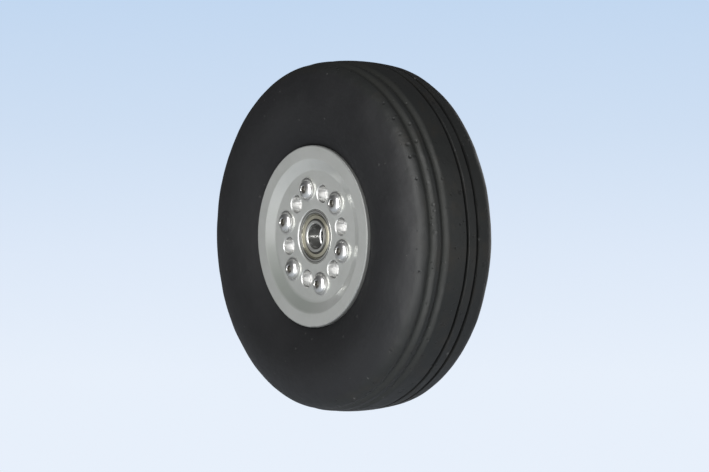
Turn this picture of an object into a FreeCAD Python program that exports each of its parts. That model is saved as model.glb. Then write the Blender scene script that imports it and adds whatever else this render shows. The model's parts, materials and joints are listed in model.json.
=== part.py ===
import FreeCAD, Part
import math
import os

# A small aircraft wheel: a tubed rib-tread tyre on a split rim that turns on two shielded
# ball bearings.  Millimetres.  The origin is the wheel's centre, +Y is the spin axis and
# points to the rear (valve) side, +Z is up.  The front of the wheel looks towards -Y.
# Outlines are drawn as (radius, y) pairs and turned about the Y axis.

V = FreeCAD.Vector
AXIS = V(0, 1, 0)
FRONT = -1
REAR = 1

# ---- tyre ------------------------------------------------------------------------------
tyre_radius = 130.0
tyre_half_width = 42.0
crown_arc = 153.0            # radius of the nearly flat running band
shoulder_round = 14.3        # radius of the shoulder
shoulder_inset = 19.7        # from the widest plane in to the centre of the shoulder arc
widest_share = 0.57          # height of the widest point, from the bead seat to the tread
carcass_thickness = 8.0
bead_width = 11.0
bead_toe_height = 4.0
bead_top_height = 8.0        # how far above the rim flange the bead blends into the side
wide_groove_places = (-24.8, -14.8)
wide_groove_half_width = 3.9
wide_groove_floor_half_width = 0.6
wide_groove_depth = 1.9
narrow_groove_places = (5.85, 15.7)
narrow_groove_half_width = 1.5
narrow_groove_floor_half_width = 0.9
narrow_groove_depth = 2.2

# ---- inner tube and valve --------------------------------------------------------------
tube_wall = 1.6
tube_gap = 0.3               # from the tube to the tyre and to the rim
tube_neck_radius = 5.5
tube_neck_length = 3.0
stem_radius = 3.85
stem_bore_radius = 1.6
stem_bore_depth = 16.0
stem_bend_radius = 9.0
stem_inside_tube = 1.5
stem_past_flange = 1.5
core_gap = 0.05
core_length = 12.0
core_below_mouth = 2.0
core_pin_radius = 0.6
core_pin_length = 1.4
cap_radius = 4.75
cap_length = 9.5
cap_end_thickness = 1.8
cap_gap = 0.05
cap_round = 1.0

# ---- rim halves ------------------------------------------------------------------------
rim_half_width = 35.0
flange_radius = 67.0
flange_thickness = 4.6
flange_face_round = 1.0
flange_back_round = 1.8
seat_radius = 50.8           # bead seat
seat_step = 2.5              # from the bead seat down to the barrel under the tube
seat_ramp = 1.0              # how far that step runs, for each mm it drops
barrel_wall = 4.3
slope_outer_radius = 57.0
slope_inner_radius = 48.8
slope_round = 2.0
web_recess = 3.5             # from the flange face back to the web face
web_thickness = 11.0
hub_boss_radius = 27.0
hub_bore_radius = 17.0
spigot_radius = 22.0
spigot_height = 2.5
spigot_gap = 0.05
spigot_end_gap = 0.2
lip_gap = 0.4                # tyre to the rim of the flange
bead_gap = 0.05              # tyre to its seat

# ---- clamp screws, washers and lock nuts -----------------------------------------------
screw_count = 6
screw_circle_radius = 35.6
first_screw_angle = 103.3    # degrees from +X towards +Z
screw_radius = 4.0
screw_hole_radius = 4.2
screw_boss_radius = 9.0
screw_end_chamfer = 0.8
screw_past_nut = 1.2
head_flange_radius = 8.6
head_flange_thickness = 1.1
head_dome_radius = 7.3
head_top_radius = 3.3
head_height = 4.4
head_crown = 0.85            # how far the dome swells past the straight cone
head_flange_chamfer = 0.35
socket_across_flats = 5.0
socket_depth = 2.7
socket_countersink = 0.3      # how far the cone at its mouth reaches past the corners
socket_point = 1.4           # depth of the drill's cone under its floor
nut_recess_radius = 9.2
nut_recess_depth = 4.0
washer_radius = 8.0
washer_hole_radius = 4.2
washer_thickness = 1.6
nut_across_flats = 13.0
nut_height = 8.0
nut_hex_height = 6.0
nut_collar_radius = 5.9
nut_corner_drop = 1.0
nut_thread_gap = 0.05
insert_radius = 5.0
insert_height = 1.8
insert_gap = 0.02
insert_cover = 0.3

# ---- blind pockets in the webs ---------------------------------------------------------
pocket_radius = 6.5
pocket_depth = 8.0
pocket_circle_radius = 32.6
pocket_mouth_chamfer = 0.5
valve_hole_radius = 5.8

# ---- bearings: bore, outside radius and half width, balls and shields -------------------
bearing_bore_radius = 9.525
bearing_outer_radius = 20.0
bearing_width = 12.0
bearing_below_web = 0.5
bearing_seat_gap = 0.01
bearing_corner = 0.6
ball_radius = 3.3735
ball_count = 8
ball_circle_radius = 14.25
race_round = 3.5
race_gap = 0.02
inner_land_radius = 12.25
outer_land_radius = 16.6
shield_recess_radius = 17.4
shield_recess_depth = 1.6
shield_thickness = 0.35
shield_dish = 0.5
shield_dish_radius = 15.4
shield_slope = 0.5
shield_bore_radius = 12.65
wire_radius = 0.44
wire_gap = 0.03
wire_opening_angle = 11.0
wire_opening_place = 168.0   # degrees from +X towards +Z
cage_sheet = 0.7
cage_ball_gap = 0.06
cage_half_band = 1.3
rivet_radius = 0.5
rivet_head_radius = 0.9
rivet_head_height = 0.4
rivet_gap = 0.02

# ---- spacer between the two inner rings --------------------------------------------------
spacer_radius = 12.0
spacer_chamfer = 0.5

overrun = 1.0                # how far a cutter, or a piece joined on, passes the face it meets

# ---- places that follow from the sizes above ---------------------------------------------
barrel_radius = seat_radius - seat_step
barrel_inner_radius = barrel_radius - barrel_wall
web_face = rim_half_width - web_recess
web_back = web_face - web_thickness
flange_back = rim_half_width - flange_thickness
bearing_face = web_face - bearing_below_web
bearing_back = bearing_face - bearing_width
bearing_middle = bearing_face - bearing_width / 2.0
screw_angles = [first_screw_angle + 360.0 / screw_count * k for k in range(screw_count)]
pocket_angles = [angle + 180.0 / screw_count for angle in screw_angles]
valve_angle = pocket_angles[-1]
nut_floor = web_face - nut_recess_depth
nut_seat = nut_floor + washer_thickness
screw_end = nut_seat + nut_height + screw_past_nut


# ---- drawing helpers ---------------------------------------------------------------------
def point(radius, y):
    return V(radius, y, 0)


def line(start, end):
    return Part.LineSegment(point(*start), point(*end)).toShape()


def arc(start, middle, end):
    return Part.Arc(point(*start), point(*middle), point(*end)).toShape()


def on_circle(centre, radius, tilt):
    """The point of a circle whose normal is tilted by this angle from the radial direction."""
    return (centre[0] + radius * math.cos(tilt), centre[1] + radius * math.sin(tilt))


def tilt_arc(centre, radius, first, last):
    middle = (first + last) / 2.0
    return arc(*[on_circle(centre, radius, tilt) for tilt in (first, middle, last)])


def turned(edges, sweep=360.0):
    """A solid of revolution about the spin axis."""
    face = Part.Face(Part.Wire(Part.__sortEdges__(edges)))
    return face.revolve(V(0, 0, 0), AXIS, sweep)


def polygon(points):
    ends = points[1:] + points[:1]
    return [line(start, end) for start, end in zip(points, ends)]


def rounded(corners):
    """Edges of a closed outline of (radius, y, round) corners; a round of 0 stays sharp."""
    edges = []
    marks = []
    count = len(corners)
    for index, (radius, y, size) in enumerate(corners):
        here = point(radius, y)
        before = point(*corners[index - 1][:2]) - here
        after = point(*corners[(index + 1) % count][:2]) - here
        if size <= 0:
            marks.append((here, here))
            continue
        half = before.getAngle(after) / 2.0
        reach = min(size / math.tan(half), 0.45 * before.Length, 0.45 * after.Length)
        centre_way = (before.normalize() + after.normalize()).normalize()
        centre = here + centre_way * (reach / math.cos(half))
        start = here + before * reach
        end = here + after * reach
        middle = centre - centre_way * (reach * math.tan(half))
        edges.append(Part.Arc(start, middle, end).toShape())
        marks.append((start, end))
    for index in range(count):
        start = marks[index][1]
        end = marks[(index + 1) % count][0]
        if (end - start).Length > 1e-6:
            edges.append(Part.LineSegment(start, end).toShape())
    return edges


def sided(corners, side):
    """The same outline on the front (-1) or rear (+1) side."""
    return [(corner[0], side * corner[1]) + tuple(corner[2:]) for corner in corners]


def ring(inner, outer, low, high):
    return turned(polygon([(inner, low), (outer, low), (outer, high), (inner, high)]))


def rod(radius, low, high, circle=0.0, angle=0.0):
    """A bar along the spin axis, at a place on a circle."""
    turn = math.radians(angle)
    base = V(circle * math.cos(turn), low, circle * math.sin(turn))
    return Part.makeCylinder(radius, high - low, base, AXIS)


def hexagon(across_flats, low, high):
    corner = across_flats / math.sqrt(3.0)
    turns = [math.radians(60.0 * k) for k in range(7)]
    points = [V(corner * math.cos(turn), low, corner * math.sin(turn)) for turn in turns]
    return Part.Face(Part.makePolygon(points)).extrude(AXIS * (high - low))


def placed(shape, circle, angle):
    """A copy of a shape drawn about the spin axis, moved out to a place on a circle."""
    copy = shape.copy()
    copy.translate(V(circle, 0, 0))
    copy.rotate(V(0, 0, 0), AXIS, -angle)
    return copy


def pattern(shape, circle, angles):
    return [placed(shape, circle, angle) for angle in angles]


def around(count, start=0.0):
    return [start + 360.0 / count * k for k in range(count)]


def save(name, solids):
    shape = solids[0] if len(solids) == 1 else Part.makeCompound(solids)
    shape.exportStep("parts/" + name + ".step")
    print(name, len(shape.Solids), "solid(s)", round(shape.Volume / 1000.0, 3), "cm3")


# ---- tyre --------------------------------------------------------------------------------
widest_radius = seat_radius + widest_share * (tyre_radius - seat_radius)
crown_centre = (tyre_radius - crown_arc, 0.0)
shoulder_y = tyre_half_width - shoulder_inset
shoulder_rise = math.sqrt((crown_arc - shoulder_round) ** 2 - shoulder_y ** 2)
shoulder_centre = (crown_centre[0] + shoulder_rise, shoulder_y)
shoulder_height = shoulder_centre[0] - widest_radius
side_arc = ((shoulder_height ** 2 + shoulder_inset ** 2 - shoulder_round ** 2)
            / (2.0 * (shoulder_inset - shoulder_round)))
side_centre = (widest_radius, tyre_half_width - side_arc)
crown_tilt = math.atan2(shoulder_y, shoulder_rise)
shoulder_tilt = math.atan2(shoulder_y - side_centre[1], shoulder_height)


def side_tilt(radius, inset):
    """Where the side arc, moved in by the inset, comes down to this radius."""
    return math.acos((radius - widest_radius) / (side_arc - inset))


def section_arcs(inset, foot_radius):
    """The tyre's outline moved in by an inset, from the front foot over the tread to the rear."""
    foot = side_tilt(foot_radius, inset)
    edges = [tilt_arc(crown_centre, crown_arc - inset, -crown_tilt, crown_tilt)]
    for side in (FRONT, REAR):
        shoulder = (shoulder_centre[0], side * shoulder_centre[1])
        flank = (side_centre[0], side * side_centre[1])
        edges.append(tilt_arc(shoulder, shoulder_round - inset,
                              side * crown_tilt, side * shoulder_tilt))
        edges.append(tilt_arc(flank, side_arc - inset, side * shoulder_tilt, side * foot))
    return edges, on_circle(side_centre, side_arc - inset, foot)


def chain(points, side):
    mirrored = [(radius, side * y) for radius, y in points]
    return [line(start, end) for start, end in zip(mirrored[:-1], mirrored[1:])]


def crown_height(y):
    """The tread's radius at this place across the tyre."""
    if abs(y) <= crown_arc * math.sin(crown_tilt):
        return crown_centre[0] + math.sqrt(crown_arc ** 2 - y ** 2)
    return shoulder_centre[0] + math.sqrt(shoulder_round ** 2 - (abs(y) - shoulder_y) ** 2)


def groove(place, half_width, floor_half_width, depth):
    """The ring of rubber that one groove leaves out, square to the tread where it runs."""
    left = crown_height(place - half_width)
    right = crown_height(place + half_width)
    lean = (right - left) / (2.0 * half_width)
    floor = crown_height(place) - depth
    spread = (half_width - floor_half_width) / depth
    over = depth
    wide = half_width + spread * over
    return turned(polygon([
        (floor - lean * floor_half_width, place - floor_half_width),
        (floor + lean * floor_half_width, place + floor_half_width),
        (right + over, place + wide),
        (left + over, place - wide)]))


toe_place = flange_back - bead_width
ramp_end = toe_place - seat_step * seat_ramp
inner_foot_radius = flange_radius + bead_top_height


def make_tyre():
    lip = flange_radius + lip_gap
    seat = seat_radius + bead_gap
    edges, outer_foot = section_arcs(0.0, lip)
    inner_edges, inner_foot = section_arcs(carcass_thickness, inner_foot_radius)
    edges += inner_edges
    for side in (FRONT, REAR):
        edges += chain([outer_foot, (lip, flange_back), (seat, flange_back), (seat, toe_place),
                        (seat + bead_toe_height, toe_place), inner_foot], side)
    tyre = turned(edges)
    for place in wide_groove_places:
        tyre = tyre.cut(groove(place, wide_groove_half_width, wide_groove_floor_half_width,
                               wide_groove_depth))
    for place in narrow_groove_places:
        tyre = tyre.cut(groove(place, narrow_groove_half_width, narrow_groove_floor_half_width,
                               narrow_groove_depth))
    return tyre


# ---- inner tube and valve ----------------------------------------------------------------
valve_place = rim_half_width / 2.0 - stem_bend_radius + 0.5
stem_end = rim_half_width + stem_past_flange


def tube_section():
    """The room between the tyre and the rim, as one closed wire."""
    edges, foot = section_arcs(carcass_thickness, inner_foot_radius)
    toe = seat_radius + bead_gap + bead_toe_height
    for side in (FRONT, REAR):
        edges += chain([foot, (toe, toe_place), (seat_radius, toe_place),
                        (barrel_radius, ramp_end)], side)
    edges.append(line((barrel_radius, -ramp_end), (barrel_radius, ramp_end)))
    return Part.Wire(Part.__sortEdges__(edges))


def outward(radius, low, high):
    """A bar that points away from the axle at the valve's place."""
    turn = math.radians(valve_angle)
    way = V(math.cos(turn), 0, math.sin(turn))
    return Part.makeCylinder(radius, high - low, V(0, valve_place, 0) + way * low, way)


def make_tube():
    room = tube_section()
    outside = Part.Face(room.makeOffset2D(-tube_gap))
    inside = Part.Face(room.makeOffset2D(-tube_gap - tube_wall))
    tube = outside.revolve(V(0, 0, 0), AXIS, 360)
    tube = tube.cut(inside.revolve(V(0, 0, 0), AXIS, 360))
    skin = barrel_radius + tube_gap
    neck = outward(tube_neck_radius, skin - tube_neck_length, skin + tube_wall / 2.0)
    tube = tube.fuse(neck)
    return tube.cut(outward(stem_radius, skin - 2.0 * tube_neck_length, skin + 2.0 * tube_wall))


def make_stem():
    top = barrel_radius + tube_gap + tube_wall + stem_inside_tube
    bend_centre = pocket_circle_radius + stem_bend_radius
    leg = outward(stem_radius, bend_centre, top)
    section = Part.Face(Part.Wire(Part.makeCircle(stem_radius, V(bend_centre, valve_place, 0),
                                                  V(1, 0, 0))))
    bend = section.revolve(V(bend_centre, valve_place + stem_bend_radius, 0), V(0, 0, 1), -90)
    bend.rotate(V(0, 0, 0), AXIS, -valve_angle)
    shaft = rod(stem_radius, valve_place + stem_bend_radius, stem_end,
                pocket_circle_radius, valve_angle)
    bore = rod(stem_bore_radius, stem_end - stem_bore_depth, stem_end,
               pocket_circle_radius, valve_angle)
    return leg.fuse([bend, shaft]).cut(bore).removeSplitter()


def make_core():
    mouth = stem_end - core_below_mouth
    body = rod(stem_bore_radius - core_gap, mouth - core_length, mouth,
               pocket_circle_radius, valve_angle)
    pin = rod(core_pin_radius, mouth, mouth + core_pin_length, pocket_circle_radius, valve_angle)
    return body.fuse(pin)


def make_cap():
    inner = stem_radius + cap_gap
    top = stem_end + cap_end_thickness
    low = top - cap_length
    outline = rounded([(0, stem_end, 0), (inner, stem_end, 0), (inner, low, 0),
                       (cap_radius, low, 0.2), (cap_radius, top, cap_round), (0, top, 0)])
    return placed(turned(outline), pocket_circle_radius, valve_angle)


# ---- rim halves --------------------------------------------------------------------------
def make_pocket(side):
    """What the cutter takes out of a web, drawn about the axis: a bore with a broken edge."""
    mouth = pocket_radius + pocket_mouth_chamfer
    outline = [(0, web_face - pocket_depth), (pocket_radius, web_face - pocket_depth),
               (pocket_radius, web_face - pocket_mouth_chamfer), (mouth, web_face),
               (mouth, web_face + overrun), (0, web_face + overrun)]
    return turned(polygon([(radius, side * y) for radius, y in outline]))


def make_half(side):
    joint_inner = [(hub_bore_radius, 0, 0)]
    if side == FRONT:
        joint_inner = [(spigot_radius, 0, 0), (spigot_radius, -spigot_height, 0.3),
                       (hub_bore_radius, -spigot_height, 0.3)]
    else:
        recess = spigot_height + spigot_end_gap
        joint_inner = [(spigot_radius + spigot_gap, 0, 0),
                       (spigot_radius + spigot_gap, recess, 0), (hub_bore_radius, recess, 0)]
    bore = bearing_outer_radius + bearing_seat_gap
    outline = joint_inner + [
        (hub_bore_radius, bearing_back, 0),
        (bore, bearing_back, 0),
        (bore, web_face - bearing_corner, 0),
        (bore + bearing_corner, web_face, 0),
        (slope_inner_radius, web_face, slope_round),
        (slope_outer_radius, rim_half_width, slope_round),
        (flange_radius, rim_half_width, flange_face_round),
        (flange_radius, flange_back, flange_back_round),
        (seat_radius, flange_back, 0),
        (seat_radius, toe_place, 0),
        (barrel_radius, ramp_end, 0),
        (barrel_radius, 0, 0),
        (barrel_inner_radius, 0, 0),
        (barrel_inner_radius, web_back, 2.0),
        (hub_boss_radius, web_back, 2.0),
        (hub_boss_radius, 0, 0)]
    half = turned(rounded(sided(outline, side)))
    low, high = sorted((0.0, side * (web_back + overrun)))
    half = half.fuse([rod(screw_boss_radius, low, high, screw_circle_radius, angle)
                      for angle in screw_angles])
    ends = sorted((-side * overrun, side * (web_face + overrun)))
    cuts = [rod(screw_hole_radius, *ends, screw_circle_radius, angle)
            for angle in screw_angles]
    cuts += pattern(make_pocket(side), pocket_circle_radius, pocket_angles)
    if side == REAR:
        cuts += [rod(nut_recess_radius, nut_floor, web_face + overrun, screw_circle_radius, angle)
                 for angle in screw_angles]
        cuts.append(rod(pocket_radius, web_back - overrun, web_face, pocket_circle_radius,
                        valve_angle))
        cuts.append(outward(valve_hole_radius, barrel_inner_radius - 2 * overrun,
                            barrel_radius + overrun))
    return half.cut(cuts)


# ---- fasteners ---------------------------------------------------------------------------
def make_screw():
    """One screw drawn about the axis, its head on the front web face."""
    seat = -web_face
    flange_top = seat - head_flange_thickness
    crown = seat - head_height
    tangent = math.hypot(head_dome_radius - head_top_radius, crown - flange_top)
    middle = ((head_dome_radius + head_top_radius) / 2.0
              + head_crown * (flange_top - crown) / tangent,
              (flange_top + crown) / 2.0
              - head_crown * (head_dome_radius - head_top_radius) / tangent)
    flange_corner = head_flange_radius - head_flange_chamfer
    flange_side = flange_top + head_flange_chamfer
    shank = screw_radius - nut_thread_gap
    edges = [
        line((0, crown), (head_top_radius, crown)),
        arc((head_top_radius, crown), middle, (head_dome_radius, flange_top)),
        line((head_dome_radius, flange_top), (flange_corner, flange_top)),
        line((flange_corner, flange_top), (head_flange_radius, flange_side)),
        line((head_flange_radius, flange_side), (head_flange_radius, seat)),
        line((head_flange_radius, seat), (shank, seat)),
        line((shank, seat), (shank, screw_end - screw_end_chamfer)),
        line((shank, screw_end - screw_end_chamfer), (shank - screw_end_chamfer, screw_end)),
        line((shank - screw_end_chamfer, screw_end), (0, screw_end)),
        line((0, screw_end), (0, crown))]
    floor = crown + socket_depth
    half_flats = socket_across_flats / 2.0
    mouth = socket_across_flats / math.sqrt(3.0) + socket_countersink
    socket = hexagon(socket_across_flats, crown - overrun, floor)
    countersink = turned(polygon([(0, crown - overrun), (mouth, crown - overrun),
                                  (mouth, crown), (0, crown + mouth)]))
    drilled = turned(polygon([(0, crown), (half_flats, crown), (half_flats, floor),
                              (0, floor + socket_point)]))
    return turned(edges).cut([socket, countersink, drilled])


def make_nut():
    """One self-locking nut: a hexagon with a round collar that holds the plastic ring."""
    top = nut_seat + nut_height
    hex_top = nut_seat + nut_hex_height
    corner = nut_across_flats / math.sqrt(3.0)
    flat = nut_across_flats / 2.0
    body = hexagon(nut_across_flats, nut_seat, hex_top)
    trim = turned(polygon([(0, nut_seat), (flat, nut_seat),
                           (corner, nut_seat + nut_corner_drop / 2.0),
                           (corner, hex_top - nut_corner_drop), (flat, hex_top), (0, hex_top)]))
    body = body.common(trim)
    collar = turned(rounded([(0, hex_top - 0.5, 0), (nut_collar_radius, hex_top - 0.5, 0),
                             (nut_collar_radius, top, 0.8), (0, top, 0)]))
    body = body.fuse(collar)
    hole = rod(screw_radius, nut_seat - overrun, top + overrun)
    groove_low = top - insert_cover - insert_height
    pocket = rod(insert_radius + insert_gap, groove_low, top - insert_cover)
    return body.cut([hole, pocket])


def make_insert():
    top = nut_seat + nut_height - insert_cover - insert_gap
    low = nut_seat + nut_height - insert_cover - insert_height + insert_gap
    return ring(screw_radius, insert_radius, low, top)


# ---- bearings ----------------------------------------------------------------------------
def make_outer_ring(side):
    half = bearing_width / 2.0
    race = ball_circle_radius + ball_radius + race_gap
    centre = (race - race_round, side * bearing_middle)
    edge = math.acos((outer_land_radius - centre[0]) / race_round)
    shoulder = race_round * math.sin(edge)
    step = half - shield_recess_depth
    edges = [tilt_arc(centre, race_round, -edge, edge)]
    for way in (FRONT, REAR):
        corners = [(outer_land_radius, shoulder), (outer_land_radius, step),
                   (shield_recess_radius, step), (shield_recess_radius, half),
                   (bearing_outer_radius - bearing_corner, half),
                   (bearing_outer_radius, half - bearing_corner), (bearing_outer_radius, 0)]
        shifted = [(radius, centre[1] + way * place) for radius, place in corners]
        edges += chain(shifted, 1)
    return turned(edges)


def make_inner_ring(side):
    half = bearing_width / 2.0
    race = ball_circle_radius - ball_radius - race_gap
    centre = (race + race_round, side * bearing_middle)
    edge = math.acos((centre[0] - inner_land_radius) / race_round)
    shoulder = race_round * math.sin(edge)
    edges = [tilt_arc(centre, race_round, math.pi - edge, math.pi + edge)]
    chamfer = bearing_corner
    for way in (FRONT, REAR):
        corners = [(inner_land_radius, shoulder), (inner_land_radius, half - chamfer / 2.0),
                   (inner_land_radius - chamfer / 2.0, half),
                   (bearing_bore_radius + chamfer, half),
                   (bearing_bore_radius, half - chamfer), (bearing_bore_radius, 0)]
        shifted = [(radius, centre[1] + way * place) for radius, place in corners]
        edges += chain(shifted, 1)
    return turned(edges)


def sphere(radius, y):
    """A sphere on the spin axis, with its poles on that axis too."""
    return Part.makeSphere(radius, V(0, y, 0), AXIS)


def make_balls(side):
    ball = sphere(ball_radius, side * bearing_middle)
    return pattern(ball, ball_circle_radius, around(ball_count))


def make_cage_half(side, way):
    """One pressed half of the ball cage: a thin ring with a cup for each ball."""
    plane = side * bearing_middle
    inner = ball_circle_radius - cage_half_band
    outer = ball_circle_radius + cage_half_band
    cup_inner = ball_radius + cage_ball_gap
    cup_outer = cup_inner + cage_sheet
    low, high = sorted((plane, plane + way * cage_sheet))
    flat = ring(inner, outer, low, high)
    low, high = sorted((plane, plane + way * (cup_outer + overrun)))
    room = ring(inner, outer, low, high)
    cups = pattern(sphere(cup_outer, plane), ball_circle_radius, around(ball_count))
    hollows = pattern(sphere(cup_inner, plane), ball_circle_radius, around(ball_count))
    holes = pattern(rod(rivet_radius + rivet_gap, plane - 2.0, plane + 2.0), ball_circle_radius,
                    around(ball_count, 180.0 / ball_count))
    return flat.fuse([cup.common(room) for cup in cups]).cut(hollows + holes)


def make_rivets(side):
    plane = side * bearing_middle
    outside = cage_sheet + rivet_gap
    shank = rod(rivet_radius, plane - outside, plane + outside)
    heads = [rod(rivet_head_radius, plane + outside, plane + outside + rivet_head_height),
             rod(rivet_head_radius, plane - outside - rivet_head_height, plane - outside)]
    return pattern(shank.fuse(heads), ball_circle_radius, around(ball_count, 180.0 / ball_count))


def make_shield(side, way):
    """A dished steel shield; way is +1 at the bearing's outboard face and -1 inboard."""
    seat = bearing_width / 2.0 - shield_recess_depth
    rim = shield_recess_radius - bearing_corner / 10.0
    slope = shield_dish_radius + shield_slope
    low = [(rim, seat), (slope, seat), (shield_dish_radius, seat + shield_dish),
           (shield_bore_radius, seat + shield_dish)]
    high = [(radius, place + shield_thickness) for radius, place in reversed(low)]
    outline = [(radius, side * (bearing_middle + way * place)) for radius, place in low + high]
    return turned(polygon(outline))


def make_wire(side, way):
    """The open spring ring that holds a shield in its groove."""
    place = bearing_width / 2.0 - shield_recess_depth + shield_thickness + wire_gap + wire_radius
    radius = shield_recess_radius - wire_gap - wire_radius
    centre = V(radius, side * (bearing_middle + way * place), 0)
    section = Part.Face(Part.Wire(Part.makeCircle(wire_radius, centre, V(0, 0, 1))))
    wire = section.revolve(V(0, 0, 0), AXIS, 360.0 - wire_opening_angle)
    wire.rotate(V(0, 0, 0), AXIS, -wire_opening_place - wire_opening_angle / 2.0)
    wire.rotate(V(0, 0, 0), AXIS, wire_opening_angle)
    return wire


def make_spacer():
    bore = bearing_bore_radius
    wide = bore + spacer_chamfer
    corner = bearing_back - spacer_chamfer
    return turned(polygon([(bore, -corner), (wide, -bearing_back), (spacer_radius, -bearing_back),
                           (spacer_radius, bearing_back), (wide, bearing_back), (bore, corner)]))


# ---- the whole wheel ---------------------------------------------------------------------
def main():
    os.makedirs("parts", exist_ok=True)
    save("tyre", [make_tyre()])
    save("inner_tube", [make_tube()])
    save("valve_stem", [make_stem()])
    save("valve_core", [make_core()])
    save("valve_cap", [make_cap()])
    save("front_rim_half", [make_half(FRONT)])
    save("rear_rim_half", [make_half(REAR)])
    save("clamp_screws", pattern(make_screw(), screw_circle_radius, screw_angles))
    washer = ring(washer_hole_radius, washer_radius, nut_floor, nut_seat)
    save("nut_washers", pattern(washer, screw_circle_radius, screw_angles))
    save("lock_nuts", pattern(make_nut(), screw_circle_radius, screw_angles))
    save("nut_inserts", pattern(make_insert(), screw_circle_radius, screw_angles))
    save("axle_spacer", [make_spacer()])
    for label, side in (("front", FRONT), ("rear", REAR)):
        stem = label + "_bearing_"
        save(stem + "outer_ring", [make_outer_ring(side)])
        save(stem + "inner_ring", [make_inner_ring(side)])
        save(stem + "balls", make_balls(side))
        save(stem + "cage_rivets", make_rivets(side))
        for place, way in (("outboard", 1), ("inboard", -1)):
            save(stem + place + "_cage_half", [make_cage_half(side, side * way)])
            save(stem + place + "_shield", [make_shield(side, way)])
            save(stem + place + "_snap_wire", [make_wire(side, way)])


main()
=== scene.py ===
# %% [markdown]
# # Dressing a small aircraft wheel
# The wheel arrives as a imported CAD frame: every piece is a separate mesh, in metres, at its real
# place.  The spin axis is Y, the screw heads look towards -Y and Z is up.  This lesson adds the
# camera, the light, the finish of every surface, and the pieces whose looks need more than the
# CAD solid has: the tyre's moulded tread, the screws' threads and the ribs of the valve cap.

# %% Load the frame and measure it
import json
import math

import bmesh
import bpy
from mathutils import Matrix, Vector


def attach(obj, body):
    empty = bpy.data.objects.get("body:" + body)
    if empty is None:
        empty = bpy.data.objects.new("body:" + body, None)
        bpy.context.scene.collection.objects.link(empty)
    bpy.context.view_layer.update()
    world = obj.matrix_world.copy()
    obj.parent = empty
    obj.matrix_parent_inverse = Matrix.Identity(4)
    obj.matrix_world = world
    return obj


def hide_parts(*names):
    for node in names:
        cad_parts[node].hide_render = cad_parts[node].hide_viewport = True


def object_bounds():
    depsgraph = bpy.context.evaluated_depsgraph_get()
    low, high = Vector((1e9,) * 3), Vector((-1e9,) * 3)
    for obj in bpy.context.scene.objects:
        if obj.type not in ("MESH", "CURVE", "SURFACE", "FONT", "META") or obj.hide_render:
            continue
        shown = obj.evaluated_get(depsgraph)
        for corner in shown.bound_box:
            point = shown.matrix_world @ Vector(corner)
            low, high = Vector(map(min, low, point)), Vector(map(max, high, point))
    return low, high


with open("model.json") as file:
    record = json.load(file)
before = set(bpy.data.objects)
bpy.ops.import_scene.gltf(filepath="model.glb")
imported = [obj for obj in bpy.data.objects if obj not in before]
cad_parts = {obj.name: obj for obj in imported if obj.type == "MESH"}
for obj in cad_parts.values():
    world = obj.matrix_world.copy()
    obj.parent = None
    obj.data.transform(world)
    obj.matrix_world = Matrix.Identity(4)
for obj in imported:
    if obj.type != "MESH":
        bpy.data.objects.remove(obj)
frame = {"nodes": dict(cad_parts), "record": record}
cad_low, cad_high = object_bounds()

nodes = frame["nodes"]
MM = 0.001
tyre_radius = (cad_high.z - cad_low.z) / 2
print("pieces", len(nodes), "tyre radius", round(tyre_radius / MM, 1), "mm")

# %% [markdown]
# ## The camera
# A long lens from about fourteen tyre radii away keeps the ellipses of the rim nearly those of a
# parallel view.  The camera stands a little above the axle and more than half way round from the
# rim's face to the tread, so the face and the grooves show together.  The lamps are aimed at the
# wheel in the same way, so placing and aiming are helpers.

# %% Set the camera
camera_turn, camera_rise = 52.21, 0.89
camera_distance = 14.05 * tyre_radius


def placed(name, data):
    """Puts a camera, a lamp or a mesh into the scene as a new object."""
    thing = bpy.data.objects.new(name, data)
    bpy.context.scene.collection.objects.link(thing)
    return thing


def way_out(turn, rise):
    """The direction from the wheel to something at this turn from -Y and rise, in degrees."""
    turn, rise = math.radians(turn), math.radians(rise)
    return Vector((math.sin(turn) * math.cos(rise), -math.cos(turn) * math.cos(rise),
                   math.sin(rise)))


def aim(thing, turn, rise, distance):
    """Stands a camera or a lamp out in that direction and points it at the wheel's centre."""
    out = way_out(turn, rise)
    thing.location = out * distance
    thing.rotation_euler = out.to_track_quat("Z", "Y").to_euler()


camera_data = bpy.data.cameras.new("camera")
camera_data.lens = 124.8
camera_data.sensor_width = 36
camera_data.shift_x = 0.0087
camera = placed("camera", camera_data)
aim(camera, camera_turn, camera_rise, camera_distance)
bpy.context.scene.camera = camera
print("camera at", [round(value, 3) for value in camera.location])

# %% [markdown]
# ## The studio
# The studio is a world shader: it shows a pale blue wall that fades to near white lower down.
# What lights the wheel is dimmer, so that colours render about as they are written.  Big white
# cards round the wheel could give the same light, but they would stand in other views.  Node
# trees are written with a few helpers, which the materials use as well.

# %% Helpers for node trees
node_options = ("operation", "data_type", "component", "domain")


def feed(tree, value, socket):
    """Links another node's output to a socket, or writes a plain value on it."""
    if isinstance(value, bpy.types.NodeSocket):
        tree.links.new(value, socket)
    else:
        socket.default_value = value


def link_new(tree, kind, **values):
    """Adds a node; a keyword names an option, an input, or the letter i and an input's number."""
    node = tree.nodes.new(kind)
    for name, value in values.items():
        if name in node_options:
            setattr(node, name, value)
        elif name[0] == "i" and name[1:].isdigit():
            feed(tree, value, node.inputs[int(name[1:])])
        else:
            feed(tree, value, node.inputs[name])
    return node


def math_node(tree, operation, first, second=0.0, third=None):
    """One step of arithmetic."""
    extra = {} if third is None else {"i2": third}
    return link_new(tree, "ShaderNodeMath", operation=operation, i0=first, i1=second,
                    **extra).outputs[0]


def fade(tree, value, first, last, start=0.0, end=1.0):
    """Goes from start to end while the value goes from first to last."""
    return link_new(tree, "ShaderNodeMapRange", i0=value, i1=first, i2=last, i3=start,
                    i4=end).outputs[0]


def parts_of(tree, vector):
    """The X, Y and Z of a vector."""
    return link_new(tree, "ShaderNodeSeparateXYZ", Vector=vector).outputs


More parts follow.
